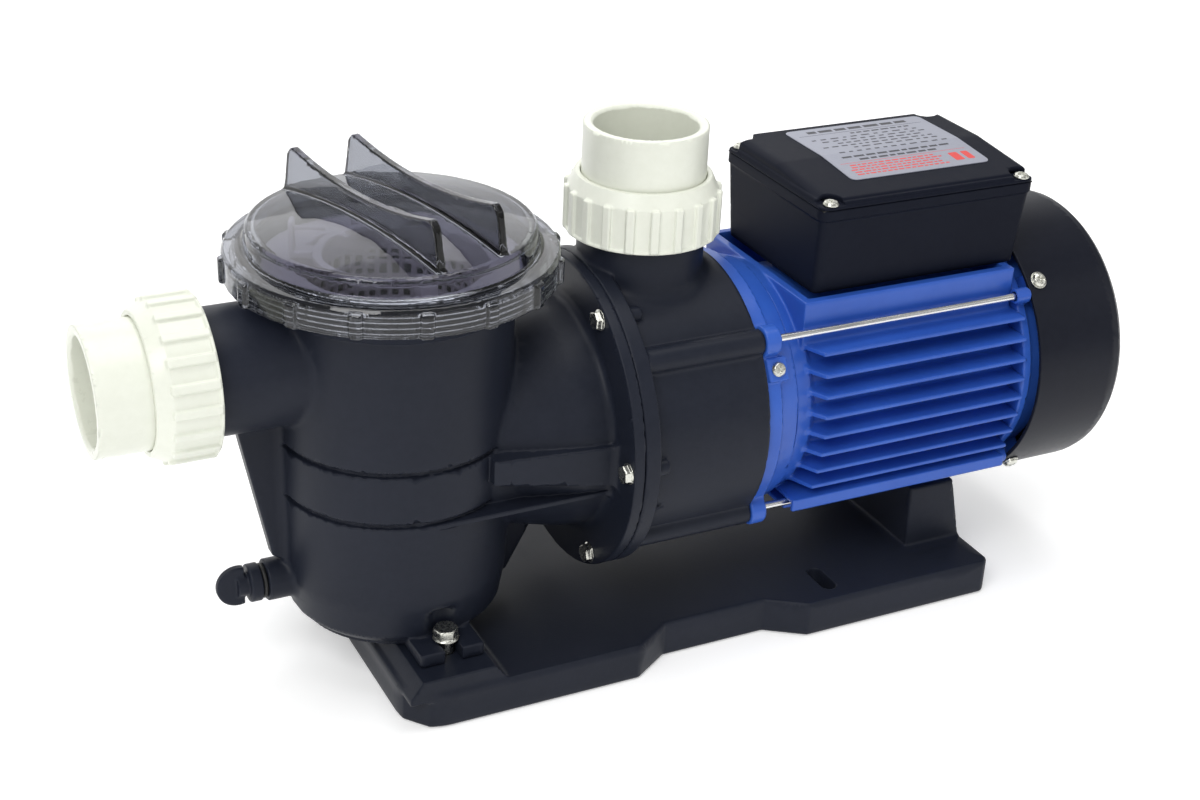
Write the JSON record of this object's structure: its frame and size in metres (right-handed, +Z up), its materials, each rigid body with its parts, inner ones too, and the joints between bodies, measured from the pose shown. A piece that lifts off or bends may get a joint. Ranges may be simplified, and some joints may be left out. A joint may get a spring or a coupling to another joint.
{
  "type": "pool pump",
  "caption": "Self-priming pool pump: clear-lidded strainer pot with side and top pipe unions, bolted volute, finned motor with terminal box and fan cover, on a moulded base.",
  "frame": {"origin": "centre of the bounding box in plan, on the floor under the base", "axes": "+X along the shaft from the strainer towards the fan, +Y across the pump to the side with the cable entry, +Z up"},
  "size_m": [0.527, 0.1588, 0.258],
  "materials": {
    "black_plastic": "satin moulded, slight sheen",
    "motor_blue": "satin enamel over cast aluminium",
    "pvc_white": "smooth moulded",
    "clear_lid": "clear moulded, lightly smoked",
    "basket_plastic": "moulded",
    "bright_steel": "zinc plated",
    "bearing_steel": "ground",
    "seal_rubber": "moulded",
    "seal_carbon": "lapped",
    "seal_ceramic": "lapped",
    "lamination": "stamped stack",
    "copper": "enamelled wire",
    "silver_label": "printed foil",
    "capacitor_can": "moulded"
  },
  "bodies": {
    "root": {"base": "black_plastic", "base_bolts": "bright_steel", "base_nuts": "bright_steel", "cable_gland": "black_plastic", "capacitor": "capacitor_can", "casing_o_ring": "seal_rubber", "diffuser": "black_plastic", "discharge_o_ring": "seal_rubber", "earth_screw": "bright_steel", "fan_cover": "black_plastic", "fan_cover_screws": "bright_steel", "flange_bolts": "bright_steel", "front_bearing_outer_ring": "bearing_steel", "motor_bracket": "motor_blue", "motor_housing": "motor_blue", "pump_casing": "black_plastic", "rating_label": "silver_label", "rear_bearing_outer_ring": "bearing_steel", "rear_end_shield": "motor_blue", "saddle_screws": "bright_steel", "seal_seat": "seal_ceramic", "stator_core": "lamination", "stator_windings": "copper", "strainer_housing": "black_plastic", "suction_o_ring": "seal_rubber", "terminal_block": "black_plastic", "terminal_box": "black_plastic", "terminal_box_cover": "black_plastic", "terminal_box_gasket": "seal_rubber", "terminal_box_screws": "bright_steel", "tie_rods": "bright_steel", "wave_washer": "bearing_steel"},
    "rotor": {"shaft": "bearing_steel", "rotor_core": "lamination", "impeller": "black_plastic", "seal_head": "seal_carbon", "slinger": "seal_rubber", "front_bearing_inner_ring": "bearing_steel", "rear_bearing_inner_ring": "bearing_steel", "cooling_fan": "black_plastic"},
    "front_balls": {"front_bearing_balls": "bearing_steel"},
    "rear_balls": {"rear_bearing_balls": "bearing_steel"},
    "suction_tail_body": {"suction_tail": "pvc_white"},
    "suction_nut_body": {"suction_nut": "pvc_white"},
    "discharge_tail_body": {"discharge_tail": "pvc_white"},
    "discharge_nut_body": {"discharge_nut": "pvc_white"},
    "lid_seal": {"lid_o_ring": "seal_rubber"},
    "lid_body": {"lid": "clear_lid"},
    "basket_body": {"strainer_basket": "basket_plastic"},
    "handle_body": {"basket_handle": "basket_plastic"},
    "drain_seal": {"drain_plug_o_ring": "seal_rubber"},
    "drain_plug_body": {"drain_plug": "black_plastic"}
  },
  "joints": [
    {"name": "shaft_spin", "type": "hinge", "parent": "root", "child": "rotor", "pos_m": [0.0805, 0, 0.114], "axis": [1, 0, 0], "continuous": true},
    {"name": "front_cage_spin", "type": "hinge", "parent": "root", "child": "front_balls", "pos_m": [0.0625, 0, 0.114], "axis": [1, 0, 0], "continuous": true},
    {"name": "rear_cage_spin", "type": "hinge", "parent": "root", "child": "rear_balls", "pos_m": [0.208, 0, 0.114], "axis": [1, 0, 0], "continuous": true},
    {"name": "lid_lift", "type": "slide", "parent": "root", "child": "lid_seal", "axis": [0, 0, 1], "range_m": [0, 0.34]},
    {"name": "lid_turn", "type": "hinge", "parent": "lid_seal", "child": "lid_body", "pos_m": [-0.1195, 0, 0.209], "axis": [0, 0, 1], "range_deg": [0, 90]},
    {"name": "basket_lift", "type": "slide", "parent": "root", "child": "basket_body", "axis": [0, 0, 1], "range_m": [0, 0.188]},
    {"name": "handle_swing", "type": "hinge", "parent": "basket_body", "child": "handle_body", "pos_m": [-0.1195, 0, 0.208], "axis": [0, 1, 0], "range_deg": [0, 90.2]},
    {"name": "suction_tail_out", "type": "slide", "parent": "root", "child": "suction_tail_body", "axis": [-1, 0, 0], "range_m": [0, 0.0161]},
    {"name": "suction_nut_turn", "type": "hinge", "parent": "suction_tail_body", "child": "suction_nut_body", "pos_m": [-0.2245, 0, 0.1649], "axis": [-1, 0, 0], "range_deg": [0, 1800]},
    {"name": "discharge_tail_out", "type": "slide", "parent": "root", "child": "discharge_tail_body", "axis": [0, 0, 1], "range_m": [0, 0.0161]},
    {"name": "discharge_nut_turn", "type": "hinge", "parent": "discharge_tail_body", "child": "discharge_nut_body", "pos_m": [0.0081, 0, 0.219], "axis": [0, 0, 1], "range_deg": [0, 1800]},
    {"name": "drain_plug_out", "type": "slide", "parent": "root", "child": "drain_seal", "axis": [-1, 0, 0], "range_m": [0, 0.0121]},
    {"name": "drain_plug_turn", "type": "hinge", "parent": "drain_seal", "child": "drain_plug_body", "pos_m": [-0.1895, 0, 0.0505], "axis": [-1, 0, 0], "range_deg": [0, 2880]}
  ],
  "couplings": [
    {"joint": "front_cage_spin", "follows": "shaft_spin", "ratio": 0.3818},
    {"joint": "rear_cage_spin", "follows": "shaft_spin", "ratio": 0.3812},
    {"joint": "basket_lift", "follows": "lid_lift", "ratio": 0.55},
    {"joint": "handle_swing", "follows": "lid_lift", "rad_per_m": 4.62},
    {"joint": "suction_tail_out", "follows": "suction_nut_turn", "m_per_rad": 0.0005093},
    {"joint": "discharge_tail_out", "follows": "discharge_nut_turn", "m_per_rad": 0.0005093},
    {"joint": "drain_plug_out", "follows": "drain_plug_turn", "m_per_rad": 0.00023873}
  ]
}
